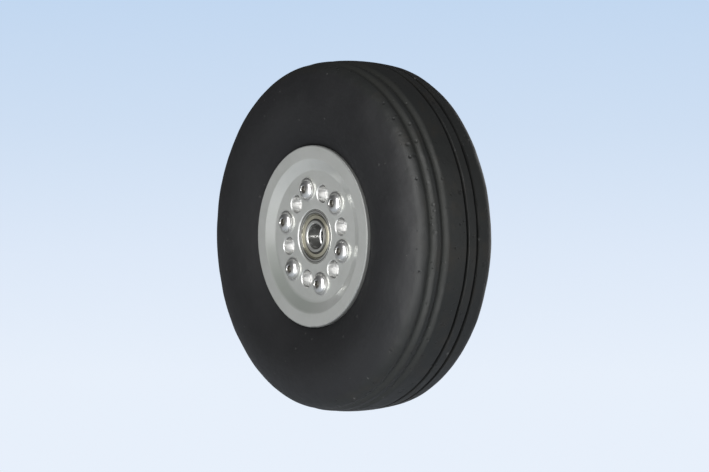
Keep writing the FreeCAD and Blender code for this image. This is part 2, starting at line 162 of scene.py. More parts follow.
def vector_of(tree, **parts):
    """A vector from its X, Y and Z, where a part that isn't given is 0."""
    return link_new(tree, "ShaderNodeCombineXYZ", **parts).outputs[0]


def ramp(tree, factor, stops):
    """A colour ramp from (place, colour) stops."""
    node = tree.nodes.new("ShaderNodeValToRGB")
    elements = node.color_ramp.elements
    while len(elements) < len(stops):
        elements.new(0.5)
    for element, (place, colour) in zip(elements, stops):
        element.position = place
        element.color = (*colour, 1)
    tree.links.new(factor, node.inputs[0])
    return node.outputs[0]


# %% The world: a pale blue wall, and softer light for the wheel
wall_low, wall_high = -0.115, 0.085
wall_stops = [
    (0.0, (0.805, 0.871, 0.966)), (0.22, (0.800, 0.868, 0.964)), (0.46, (0.725, 0.812, 0.939)),
    (0.72, (0.618, 0.735, 0.895)), (1.0, (0.533, 0.677, 0.872))]
room_stops = [
    (0.0, (0.92, 0.94, 0.97)), (0.38, (0.80, 0.82, 0.84)), (0.52, (0.26, 0.265, 0.27)),
    (0.70, (0.15, 0.15, 0.16)), (1.0, (0.26, 0.265, 0.28))]
bright_side = way_out(72, 0)
dim_room, bright_room = 0.32, 1.15
world = bpy.data.worlds.new("studio")
bpy.context.scene.world = world
world.use_nodes = True
sky = world.node_tree
sky.nodes.clear()
direction = link_new(sky, "ShaderNodeTexCoord").outputs["Generated"]
height = parts_of(sky, direction)["Z"]
wall = ramp(sky, fade(sky, height, wall_low, wall_high), wall_stops)
room = ramp(sky, fade(sky, height, -1.0, 1.0), room_stops)
towards = link_new(sky, "ShaderNodeVectorMath", operation="DOT_PRODUCT", i0=direction,
                   i1=bright_side).outputs["Value"]
seen = link_new(sky, "ShaderNodeBackground", Color=wall, Strength=1.0)
lighting = link_new(sky, "ShaderNodeBackground", Color=room,
                    Strength=fade(sky, towards, -0.7, 0.8, dim_room, bright_room))
is_seen = link_new(sky, "ShaderNodeLightPath").outputs["Is Camera Ray"]
studio = link_new(sky, "ShaderNodeMixShader", i0=is_seen, i1=lighting.outputs[0],
                  i2=seen.outputs[0])
link_new(sky, "ShaderNodeOutputWorld", Surface=studio.outputs[0])
print("world nodes", len(sky.nodes))

# %% [markdown]
# ## Lamps and a floor
# Rubber is black, so its form shows in what it mirrors.  A tall soft lamp draws the long highlight
# on the shoulder, and three weaker ones light the tread, the underside and the rear face.  Small
# lamps would leave hard dots on polished metal, so only the bore gets one, a narrow beam that
# enters it from behind.  A wheel hangs on an axle, so the floor lies well below it: a sheet of
# paper that glows a little for the camera, and that can be looked through from underneath.

# %% Lamps


def soft_lamp(name, turn, rise, distance, size, power):
    """A flat lamp that faces the wheel, in degrees, metres and watts."""
    data = bpy.data.lights.new(name, "AREA")
    data.shape = "RECTANGLE"
    data.size, data.size_y = size
    data.energy = power
    aim(placed(name, data), turn, rise, distance)
    print(name, power, "W")


soft_lamp("key_box", 33, 10, 2.4, (1.0, 3.2), 77)
soft_lamp("side_box", 112, 16, 2.2, (1.0, 1.6), 5)
soft_lamp("low_box", 40, -32, 0.5, (0.35, 0.10), 0.45)
soft_lamp("back_box", 196, 6, 2.4, (1.2, 1.4), 7)

bore_radius = 9.5 * MM
beam_turn, beam_reach = 162, 0.45
beam = bpy.data.lights.new("bore_light", "SPOT")
beam.energy = 14
beam.shadow_soft_size = 0.012
beam.spot_size = 2 * math.atan(bore_radius / beam_reach)
beam.spot_blend = 0.2
aim(placed("bore_light", beam), beam_turn, 0, beam_reach)
print("bore lamp cone", round(math.degrees(beam.spot_size), 1), "degrees")

# %% The floor
floor_drop = 2.6 * tyre_radius
floor_radius = 7.5 * tyre_radius
glow_share = 0.5
floor_shape = bmesh.new()
bmesh.ops.create_circle(floor_shape, cap_ends=True, radius=floor_radius, segments=128)
bmesh.ops.translate(floor_shape, vec=Vector((0, 0, -floor_drop)), verts=floor_shape.verts)
floor_mesh = bpy.data.meshes.new("floor")
floor_shape.to_mesh(floor_mesh)
floor_shape.free()
floor = placed("floor", floor_mesh)
floor_look = bpy.data.materials.new("floor_paper")
floor_look.use_nodes = True
paper = floor_look.node_tree
paper.nodes.clear()
paper_place = link_new(paper, "ShaderNodeTexCoord").outputs["Object"]
fibres = link_new(paper, "ShaderNodeTexNoise", Vector=paper_place, Scale=9.0, Detail=4.0)
paper_tone = ramp(paper, fibres.outputs[0], [
    (0.3, (0.785, 0.835, 0.905)), (0.7, (0.815, 0.865, 0.935))])
paper_lit = link_new(paper, "ShaderNodeBsdfPrincipled", i0=paper_tone, Roughness=0.9)
paper_glow = link_new(paper, "ShaderNodeEmission", Color=paper_tone)
glowing = math_node(paper, "MULTIPLY", glow_share,
                    link_new(paper, "ShaderNodeLightPath").outputs["Is Camera Ray"])
upper_side = link_new(paper, "ShaderNodeMixShader", i0=glowing, i1=paper_lit.outputs[0],
                      i2=paper_glow.outputs[0])
see_through = link_new(paper, "ShaderNodeBsdfTransparent")
both_sides = link_new(paper, "ShaderNodeMixShader", i1=upper_side.outputs[0],
                      i2=see_through.outputs[0],
                      i0=link_new(paper, "ShaderNodeNewGeometry").outputs["Backfacing"])
link_new(paper, "ShaderNodeOutputMaterial", Surface=both_sides.outputs[0])
floor_mesh.materials.append(floor_look)
print("floor", round(floor_drop, 2), "m below the axle")

# %% [markdown]
# ## Finishes
# Every finish is made of nodes that read Object coordinates, which on these pieces are metres in
# the wheel's own frame.  Most of them need to know how far a point is from the spin axis and at
# what angle it stands, because turned and moulded parts carry their marks in rings.

# %% Helpers for places and patterns


def finish(name):
    """A new material with its tree, its main shader and the coordinates of a point."""
    material = bpy.data.materials.new(name)
    material.use_nodes = True
    tree = material.node_tree
    where = link_new(tree, "ShaderNodeTexCoord").outputs["Object"]
    return material, tree, tree.nodes["Principled BSDF"], where


def long_side(tree, across, up):
    """The longest side of a right-angled triangle."""
    return math_node(tree, "SQRT", math_node(
        tree, "ADD", math_node(tree, "POWER", across, 2.0), math_node(tree, "POWER", up, 2.0)))


def polar(tree, where):
    """Distance from the spin axis, angle about it, and place along it."""
    parts = parts_of(tree, where)
    angle = math_node(tree, "ARCTAN2", parts["Z"], parts["X"])
    return long_side(tree, parts["X"], parts["Z"]), angle, parts["Y"]


def rings(tree, radius, angle, along, scales):
    """Coordinates in which noise draws fine lines round the spin axis."""
    return vector_of(tree, X=math_node(tree, "MULTIPLY", radius, scales[0]),
                     Y=math_node(tree, "MULTIPLY", angle, scales[1]),
                     Z=math_node(tree, "MULTIPLY", along, scales[2]))


def noise(tree, vector, scale, detail=3.0, roughness=0.5):
    """Soft random patches between 0 and 1; scale is how many there are to a metre."""
    return link_new(tree, "ShaderNodeTexNoise", Vector=vector, Scale=scale, Detail=detail,
                    Roughness=roughness).outputs["Fac"]


# %% Helpers for colour, gloss and relief
cut_stretch = 0.85      # how far turned metal draws out its highlights


def set_look(tree, shader, **values):
    """Feeds the shader's inputs; an underscore stands for the space in an input's name."""
    for name, value in values.items():
        feed(tree, value, shader.inputs[name.replace("_", " ")])


def mix_colour(tree, factor, first, second):
    """Goes from the first colour to the second while the factor goes from 0 to 1."""
    node = link_new(tree, "ShaderNodeMix", data_type="RGBA", i0=factor)
    for index, colour in ((6, first), (7, second)):
        feed(tree, (*colour, 1) if isinstance(colour, tuple) else colour, node.inputs[index])
    return node.outputs[2]


def tint(tree, base, colour, mask, strength):
    """Lays a colour over the base where the mask is 1, as strongly as strength says."""
    return mix_colour(tree, math_node(tree, "MULTIPLY", mask, strength), base, colour)


def bump(tree, shader, height, distance, strength, before=None):
    """Raises the surface in the shading only, on top of the bump that came before."""
    node = link_new(tree, "ShaderNodeBump", Height=height, Distance=distance, Strength=strength)
    if before is not None:
        tree.links.new(before, node.inputs["Normal"])
    set_look(tree, shader, Normal=node.outputs[0])
    return node.outputs[0]


def brushed(tree, shader, x, z, amount):
    """Cut marks round an axis stretch every highlight across them; x and z are measured from it."""
    quarter_turn = 0.25
    along_cut = vector_of(tree, X=math_node(tree, "MULTIPLY", z, -1.0), Z=x)
    turned = link_new(tree, "ShaderNodeVectorTransform", Vector=along_cut)
    turned.convert_from, turned.convert_to, turned.vector_type = "OBJECT", "WORLD", "VECTOR"
    set_look(tree, shader, Tangent=turned.outputs[0], Anisotropic_Rotation=quarter_turn,
             Anisotropic=amount)


# %% [markdown]
# ## The tyre's rubber
# A used tyre is black but never even.  The mould leaves a fine grain, bloom and dust make it paler
# in patches, stones nick the tread, and the grooves carry painted light and shade.  A painted
# texture would need an unwrapped form and would blur close by, so noise draws all of it in the
# wheel's own metres, and masks by radius keep the nicks and the earth on the tread.

# %% The tyre's grooves, and spots for dust and nicks
# (place across the tread, half width, depth, share of the half width that is flat floor)
grooves = [(-24.8 * MM, 3.9 * MM, 1.9 * MM, 0.10), (-14.8 * MM, 3.9 * MM, 1.9 * MM, 0.10),
           (5.85 * MM, 1.5 * MM, 2.2 * MM, 0.50), (15.7 * MM, 1.5 * MM, 2.2 * MM, 0.50)]
wide_from = 2 * MM      # wide grooves have a larger half width than this


def spots(tree, where, scale, size, power):
    """Scattered round marks of many sizes: 1 in the middle of a mark and 0 outside it."""
    smallest = 0.0001
    cells = link_new(tree, "ShaderNodeTexVoronoi", Vector=where, Scale=scale)
    chance = link_new(tree, "ShaderNodeSeparateColor", Color=cells.outputs["Color"]).outputs[0]
    reach = math_node(tree, "MULTIPLY_ADD", math_node(tree, "POWER", chance, power), size, -0.02)
    share = math_node(tree, "DIVIDE", cells.outputs["Distance"],
                      math_node(tree, "MAXIMUM", reach, smallest))
    return math_node(tree, "SUBTRACT", 1.0, math_node(tree, "MINIMUM", share, 1.0))


# %% The rubber's colour


def rubber_tone(tree, where, place, tread, patches):
    """Black that is paler in slow patches and rings, with earth on the tread and pale dust."""
    radius, angle, along = place
    streaks = noise(tree, rings(tree, radius, angle, along, (700.0, 2.5, 700.0)), 1.0)
    earth = math_node(tree, "MULTIPLY", tread,
                      fade(tree, noise(tree, where, 48.0, 4.0, 0.7), 0.5, 0.75))
    base = mix_colour(tree, patches, (0.0078, 0.0078, 0.0084), (0.0128, 0.0130, 0.0138))
    base = tint(tree, base, (0.019, 0.0195, 0.0205), streaks, 0.35)     # bloom
    base = tint(tree, base, (0.0120, 0.0138, 0.0116), tread, 0.5)       # worn
    base = tint(tree, base, (0.022, 0.0185, 0.0135), earth, 0.6)
    crumbled = link_new(tree, "ShaderNodeVectorMath", operation="MULTIPLY_ADD",
                        i0=link_new(tree, "ShaderNodeTexNoise", Vector=where,
                                    Scale=900.0).outputs["Color"],
                        i1=(0.0016, 0.0016, 0.0016), i2=where).outputs[0]
    dust = math_node(tree, "GREATER_THAN", spots(tree, crumbled, 190.0, 0.24, 14.0), 0.05)
    return tint(tree, base, (0.14, 0.14, 0.135), dust,
                fade(tree, radius, 100 * MM, 122 * MM, 0.16, 0.5))


# %% Painted light and shade in the grooves


def groove_painted_light(tree, along, tread, base, shine):
    """The wide grooves are painted lighter against their shade; the narrow ones carry painted shade
    and don't shine.
    """
    for place, half, *_ in grooves:
        off = math_node(tree, "ABSOLUTE", math_node(tree, "SUBTRACT", along, place))
        wide = half > wide_from
        inner, outer, most = (0.3, 1.1, 0.9) if wide else (0.7, 1.3, 0.5)
        groove_paint = math_node(tree, "MULTIPLY", tread,
                           fade(tree, off, half * inner, half * outer, most, 0.0))
        # Painted light: wide grooves are coloured paler against their shade, and narrow ones darker
        # as painted shade.
        base = mix_colour(tree, groove_paint, base,
                          (0.020, 0.021, 0.0185) if wide else (0.003, 0.003, 0.003))
        if not wide:
            shine = math_node(tree, "MULTIPLY", shine,
                              math_node(tree, "SUBTRACT", 1.0, groove_paint))
    return base, shine


# %% The whole rubber
tread_fades, tread_full = 119 * MM, 124 * MM
rim_side, open_side = 68 * MM, 102 * MM     # the rubber is duller beside the rim


def make_rubber():
    """Moulded black rubber: fine grain, slow waves, bloom, pale dust, and nicks on the tread."""
    material, tree, shader, where = finish("moulded_rubber")
    place = polar(tree, where)
    radius, along = place[0], place[2]
    tread = fade(tree, radius, tread_fades, tread_full)
    patches = noise(tree, where, 22.0, 4.0, 0.6)
    base = rubber_tone(tree, where, place, tread, patches)
    nicks = math_node(tree, "MULTIPLY", tread, math_node(
        tree, "MAXIMUM", spots(tree, where, 150.0, 0.42, 6.0),
        spots(tree, where, 270.0, 0.5, 7.0)))
    base = tint(tree, base, (0.004, 0.004, 0.004), nicks, 0.7)
    away = fade(tree, radius, rim_side, open_side)
    shine = math_node(tree, "MULTIPLY_ADD", away, 0.24, 0.16)
    base, shine = groove_painted_light(tree, along, tread, base, shine)
    rough = math_node(tree, "MULTIPLY_ADD", math_node(tree, "SUBTRACT", 1.0, away), 0.15,
                      fade(tree, patches, 0.3, 0.7, 0.42, 0.57))
    set_look(tree, shader, Base_Color=base, Specular_IOR_Level=shine, Roughness=rough)
    relief = ((noise(tree, where, 1800.0, 3.0, 0.6), 0.06 * MM, 0.5),       # moulded grain
              (noise(tree, where, 62.0, 2.0), 1.5 * MM, 0.36),              # slow waves
              (noise(tree, where, 150.0, 2.0), 0.5 * MM, 0.30),             # ripples
              (math_node(tree, "SUBTRACT", 1.0, nicks), 0.6 * MM, 0.9))     # nicks
    under = None
    for height, distance, strength in relief:
        under = bump(tree, shader, height, distance, strength, under)
    return material


rubber = make_rubber()
print("rubber nodes", len(rubber.node_tree.nodes))

# %% [markdown]
# ## The rim's coat
# The rim is light alloy, machined and given a thin grey coat.  Its pockets were drilled
# afterwards, so their walls are bare and bright.  A CAD piece keeps its mesh and takes one finish,
# so one material holds both surfaces and a mask by position tells them apart.  The coat is
# stained, and it carries painted shade on the flange's edge and low in the dish.

# %% Where the pockets and screws stand
per_circle = 6          # pockets, and screws
pocket_circle, pocket_radius = 32.6 * MM, 6.5 * MM
screw_circle = 35.6 * MM
first_screw = math.radians(103.3)
first_pocket = first_screw + math.pi / per_circle
web_face = 31.5 * MM


def from_nearest(tree, where, angle, first, circle):
    """How far a point is from the nearest axis on a circle: along X, along Z and in all."""
    step = 2 * math.pi / per_circle
    steps = math_node(tree, "DIVIDE", math_node(tree, "SUBTRACT", angle, first), step)
    nearest = math_node(tree, "MULTIPLY_ADD", math_node(tree, "ROUND", steps), step, first)
    parts = parts_of(tree, where)
    x = math_node(tree, "SUBTRACT", parts["X"], math_node(
        tree, "MULTIPLY", math_node(tree, "COSINE", nearest), circle))
    z = math_node(tree, "SUBTRACT", parts["Z"], math_node(
        tree, "MULTIPLY", math_node(tree, "SINE", nearest), circle))
    return x, z, long_side(tree, x, z)


# %% The coat's colour
# Pairs of radii between which a mask fades.
edge_shade_radii = (65.8 * MM, 66.6 * MM)      # the flange's edge is darkened by painted shade
dish_wall = (57.5 * MM, 55.5 * MM)      # painted shade in the dish begins at the dish's wall
web_edge = (46.0 * MM, 49.5 * MM)       # and ends on the web
hub_edge = (22.3 * MM, 22.9 * MM)       # the hub is a little rougher
dish_shade_angle = math.radians(236)              # the angle in the dish where the painted shade is deepest


def coat_tone(tree, where, radius, angle, clouds, painted_shade_edge):
    """Pale grey with a film of stains, and painted shade on the flange's edge and low in the dish.
    """
    coat = mix_colour(tree, clouds, (0.480, 0.490, 0.468), (0.545, 0.555, 0.533))
    film = fade(tree, noise(tree, where, 90.0, 4.0, 0.65), 0.52, 0.75, 0.0, 0.35)
    coat = mix_colour(tree, film, coat, (0.42, 0.445, 0.40))
    # Painted shade: the flange's rounded edge is coloured dark where it turns away from the light.
    coat = mix_colour(tree, painted_shade_edge, coat, (0.17, 0.175, 0.17))
    # Painted shade: the coat is coloured darker low in the dish, where the dish's wall is in shade.
    lowness = math_node(tree, "COSINE", math_node(tree, "SUBTRACT", angle, dish_shade_angle))
    in_dish = math_node(tree, "MULTIPLY", fade(tree, radius, *dish_wall),
                        fade(tree, radius, *web_edge, 0.1, 1.0))
    painted_dish_shade = math_node(tree, "MULTIPLY", fade(tree, lowness, 0.55, 0.95), in_dish)
    return tint(tree, coat, (0.30, 0.322, 0.292), painted_dish_shade, 0.8)


# %% Rim coat with bare pocket walls


def make_rim_coat():
    """Satin grey coat on a machined alloy, and bare metal inside the pockets."""
    material, tree, shader, where = finish("rim_coat")
    radius, angle, along = polar(tree, where)
    from_x, from_z, reach = from_nearest(tree, where, angle, first_pocket, pocket_circle)
    inside = math_node(tree, "LESS_THAN", reach, pocket_radius + 0.05 * MM)
    below = math_node(tree, "LESS_THAN", math_node(tree, "ABSOLUTE", along),
                      web_face - 0.02 * MM)
    bare = math_node(tree, "MULTIPLY", inside, below)
    brushed(tree, shader, from_x, from_z, math_node(tree, "MULTIPLY", bare, cut_stretch))
    cuts = noise(tree, vector_of(tree, X=math_node(tree, "MULTIPLY", reach, 3000.0),
                                 Y=math_node(tree, "MULTIPLY", along, 3500.0)), 1.0)
    metal = mix_colour(tree, cuts, (0.57, 0.57, 0.56), (0.71, 0.71, 0.70))
    clouds = noise(tree, where, 35.0, 3.0, 0.55)
    # The flange's edge carries painted shade in its colour, and it is also made rougher.
    painted_shade_edge = fade(tree, radius, *edge_shade_radii, 0.0, 0.75)
    coat = coat_tone(tree, where, radius, angle, clouds, painted_shade_edge)
    rough = math_node(tree, "ADD", fade(tree, radius, *hub_edge, 0.08, 0.0),
                      math_node(tree, "MULTIPLY_ADD", clouds, 0.06, 0.32))
    rough = math_node(tree, "MULTIPLY_ADD", painted_shade_edge, 0.2, rough)
    set_look(tree, shader, Base_Color=mix_colour(tree, bare, coat, metal), Coat_Weight=0.05,
             Metallic=math_node(tree, "MULTIPLY_ADD", bare, 0.45, 0.55),
             Roughness=math_node(tree, "MULTIPLY_ADD", bare, -0.02, rough))
    grain = math_node(tree, "MULTIPLY", noise(tree, where, 2600.0, 2.0, 0.6),
                      math_node(tree, "SUBTRACT", 1.0, bare))
    marks = math_node(tree, "MULTIPLY", cuts, math_node(tree, "MULTIPLY", bare, 0.03))
    bump(tree, shader, math_node(tree, "ADD", grain, marks), 0.03 * MM, 0.5)
    return material


rim_coat = make_rim_coat()
print("rim nodes", len(rim_coat.node_tree.nodes))

# %% [markdown]
# ## Turned and ground metals
# Bearings, spacer and valve come off lathes and grinding wheels, which leave fine lines round the
# axis.  The lines could be modelled, but they are far thinner than any mesh, so stretched noise
# gives their colour and gloss, and the shader draws highlights out across them.  Painted shade
# darkens the corners between the rings, which shows where one ring ends, and it darkens the bore.

# %% Turned metals


def gap_painted_shade(tree, radius, places):
    """1 away from the gaps, and less where painted shade darkens a gap between rings: (radius, half
    width, strength).
    """
    unshaded = 1.0
    for place, half, strength in places:
        off = math_node(tree, "ABSOLUTE", math_node(tree, "SUBTRACT", radius, place))
        unshaded = math_node(tree, "MULTIPLY", unshaded,
                          fade(tree, off, half * 0.3, half, 1.0 - strength, 1.0))
    return unshaded


def make_turned(name, dark, light, roughness, metallic=1.0, stained=0.0, gap_shade=()):
    """Bare metal with fine lines round the axis; the bore is smoother and darkened by painted
    shade.
    """
    material, tree, shader, where = finish(name)
    radius, angle, along = polar(tree, where)
    lines = noise(tree, rings(tree, radius, angle, along, (5000.0, 3.0, 5000.0)), 1.0, 3.0, 0.6)
    colour = mix_colour(tree, lines, dark, light)
    if stained:
        colour = tint(tree, colour, (0.3, 0.25, 0.2), noise(tree, where, 160.0), stained)
    if gap_shade:
        # Painted shade: thin dark rings where one ring meets the next.
        colour = mix_colour(tree, gap_painted_shade(tree, radius, gap_shade), (0.035, 0.032, 0.026), colour)
    in_bore = math_node(tree, "LESS_THAN", radius, bore_radius + 0.1 * MM)
    # Painted shade: the bore's colour is darkened inside the hole.
    colour = tint(tree, colour, (0.12, 0.12, 0.12), in_bore, 0.5)
    ground = math_node(tree, "MULTIPLY_ADD", in_bore, -0.14, roughness - 0.07)
    set_look(tree, shader, Base_Color=colour, Metallic=metallic,
             Roughness=math_node(tree, "MULTIPLY_ADD", lines, 0.14, ground))
    parts = parts_of(tree, where)
    brushed(tree, shader, parts["X"], parts["Z"], cut_stretch)
    bump(tree, shader, lines, 0.004 * MM, 0.6)
    return material


# Painted shade in the gaps of the bearing's rings and shield: (radius, half width, strength).
gap_shade_lines = ((11.95 * MM, 0.5 * MM, 0.92), (17.3 * MM, 0.4 * MM, 0.6),
             (18.8 * MM, 0.5 * MM, 0.8), (19.95 * MM, 0.4 * MM, 0.85))
shield_gap_shade = ((12.75 * MM, 0.5 * MM, 0.92), (15.9 * MM, 0.45 * MM, 0.9),
                (17.3 * MM, 0.6 * MM, 0.6))
bearing_steel = make_turned("ground_steel", (0.56, 0.56, 0.53), (0.74, 0.74, 0.70), 0.38,
                            metallic=0.85, gap_shade=gap_shade_lines)
shield_steel = make_turned("shield_plating", (0.60, 0.575, 0.45), (0.78, 0.755, 0.61), 0.40,
                           metallic=0.85, stained=0.25, gap_shade=shield_gap_shade)
wire_steel = make_turned("spring_wire", (0.42, 0.41, 0.36), (0.64, 0.63, 0.56), 0.28)
cage_steel = make_turned("pressed_steel", (0.46, 0.46, 0.44), (0.60, 0.60, 0.58), 0.34)
ball_steel = make_turned("polished_ball", (0.66, 0.66, 0.66), (0.74, 0.74, 0.74), 0.10)
spacer_alloy = make_turned("turned_tube", (0.60, 0.61, 0.62), (0.78, 0.78, 0.79), 0.30)
valve_brass = make_turned("machined_brass", (0.55, 0.40, 0.16), (0.72, 0.55, 0.26), 0.30,
                          stained=0.3)
print("bearing steel nodes", len(bearing_steel.node_tree.nodes))

# %% [markdown]
# ## Polished, plated and moulded surfaces
# The screws are polished stainless steel with duller sockets that carry painted shade; nuts and
# washers are plated; the cap and the rings in the nuts are plastic.  None of them has a direction,
# so one recipe of even grain over slow patches serves most of them, and its numbers make the
# difference.

# %% Speckled finishes


def make_speckled(name, dark, light, roughness, scale, depth, metallic=1.0):
    """A surface with an even fine grain and slow patches: plated, polished or moulded."""
    material, tree, shader, where = finish(name)
    patches = noise(tree, where, scale / 12.0)
    grain = noise(tree, where, scale, 2.0, 0.6)
    set_look(tree, shader, Base_Color=mix_colour(tree, patches, dark, light), Metallic=metallic,
             Roughness=math_node(tree, "MULTIPLY_ADD", grain, 0.10, roughness - 0.05))
    bump(tree, shader, grain, depth, 0.5)
    return material


zinc = make_speckled("zinc_plate", (0.56, 0.57, 0.58), (0.70, 0.71, 0.70), 0.28, 1200.0,
                     0.006 * MM)
nylon = make_speckled("nylon_ring", (0.66, 0.68, 0.70), (0.78, 0.79, 0.80), 0.45, 900.0,
                      0.01 * MM, metallic=0.0)
cap_plastic = make_speckled("moulded_plastic", (0.016, 0.016, 0.017), (0.028, 0.028, 0.029), 0.42,
                            900.0, 0.02 * MM, metallic=0.0)
tube_rubber = make_speckled("butyl_rubber", (0.018, 0.018, 0.018), (0.028, 0.028, 0.028), 0.6,
                            700.0, 0.04 * MM, metallic=0.0)
print("speckled nodes", len(zinc.node_tree.nodes))

# %% The screws' steel
head_height = 4.4 * MM
socket_reach, socket_mouth = 2.95 * MM, 0.25 * MM       # the socket's painted shade and duller skin start inside these


def make_screw_steel():
    """Polished stainless heads; the sockets are duller, and their colour is darkened by painted
    shade.
    """
    material, tree, shader, where = finish("stainless")
    angle, along = polar(tree, where)[1:]
    reach = from_nearest(tree, where, angle, first_screw, screw_circle)[2]
    below_crown = math_node(tree, "GREATER_THAN", along, socket_mouth - web_face - head_height)
    socket = math_node(tree, "MULTIPLY", math_node(tree, "LESS_THAN", reach, socket_reach),
                       below_crown)
    grain = noise(tree, where, 1500.0, 2.0, 0.6)
    polished = mix_colour(tree, noise(tree, where, 125.0), (0.74, 0.735, 0.71),
                          (0.86, 0.855, 0.83))
    # Painted shade: the socket's steel is coloured nearly black inside the recess; its extra
    # roughness is real.
    socket_painted_shade = mix_colour(tree, noise(tree, where, 900.0, 2.0), (0.06, 0.056, 0.05),
                      (0.42, 0.41, 0.38))
    rough = math_node(tree, "MULTIPLY_ADD", grain, 0.08, 0.26)
    set_look(tree, shader, Base_Color=mix_colour(tree, socket, polished, socket_painted_shade), Metallic=1.0,
             Roughness=math_node(tree, "MULTIPLY_ADD", socket, 0.10, rough))
    bump(tree, shader, grain, 0.003 * MM, 0.4)
    return material


screw_steel = make_screw_steel()
print("finishes", [material.name for material in bpy.data.materials])

# %% [markdown]
# ## Dress the wheel
# Each piece says in the frame's record which material slot it has, so one table from slots to
# finishes dresses all of them, also those that finer meshes replace further down.  Choosing by
# piece name would work as well, but it would repeat the record.

# %% Dress the pieces
slot_finish = {
    "tyre_rubber": rubber, "tube_rubber": tube_rubber, "valve_brass": valve_brass,
    "cap_plastic": cap_plastic, "rim_finish": rim_coat, "screw_steel": screw_steel,
    "plated_steel": zinc, "nylon": nylon, "spacer_alloy": spacer_alloy,
    "bearing_steel": bearing_steel, "ball_steel": ball_steel, "cage_steel": cage_steel,
    "shield_steel": shield_steel, "wire_steel": wire_steel}
node_slot = {part["node"]: part["material_slot"] for part in frame["record"]["subparts"]}
for name, piece in nodes.items():
    piece.data.materials.clear()
    piece.data.materials.append(slot_finish[node_slot[name]])
print("dressed", len(nodes), "CAD pieces")

# %% [markdown]
# ## The tyre, turned by Geometry Nodes
# A tyre is one closed outline swept round the axle.  The outline here is three arcs that run into
# each other on each side, with the grooves pressed into the tread as smooth dips, and the node
# tree repeats it round the axis.  The same tree could turn any other lathe-made piece.

# %% Helpers for geometry trees


def socket_id(tree, name):
    """The identifier of a tree's input, because the name alone can't address it."""
    for item in tree.interface.items_tree:
        if item.item_type == "SOCKET" and item.in_out == "INPUT" and item.name == name:
            return item.identifier
    raise KeyError(name)


def new_tree(name, inputs):
    """A geometry tree with a Geometry input, these named inputs and a Geometry output."""
    tree = bpy.data.node_groups.new(name, "GeometryNodeTree")
    tree.interface.new_socket("Geometry", in_out="INPUT", socket_type="NodeSocketGeometry")
    for label, kind, value in inputs:
        socket = tree.interface.new_socket(label, in_out="INPUT", socket_type=kind)
        if value is not None:
            socket.default_value = value
    tree.interface.new_socket("Geometry", in_out="OUTPUT", socket_type="NodeSocketGeometry")
    return tree, tree.nodes.new("NodeGroupInput"), tree.nodes.new("NodeGroupOutput")


def close_tree(tree, given, out, geometry):
    """Ends a tree with real geometry, shaded smooth, with its material set. Ends a tree
    as the export needs it: real geometry with its material set.
    """
    smooth = link_new(tree, "GeometryNodeSetShadeSmooth", Geometry=geometry)
    real = link_new(tree, "GeometryNodeRealizeInstances", Geometry=smooth.outputs[0])
    made = link_new(tree, "GeometryNodeSetMaterial", Geometry=real.outputs[0],
                    Material=given.outputs["Material"])
    tree.links.new(made.outputs[0], out.inputs[0])


# %% A node tree that turns an outline about the spin axis
seam_gap = 0.001 * MM       # points closer than this are one point


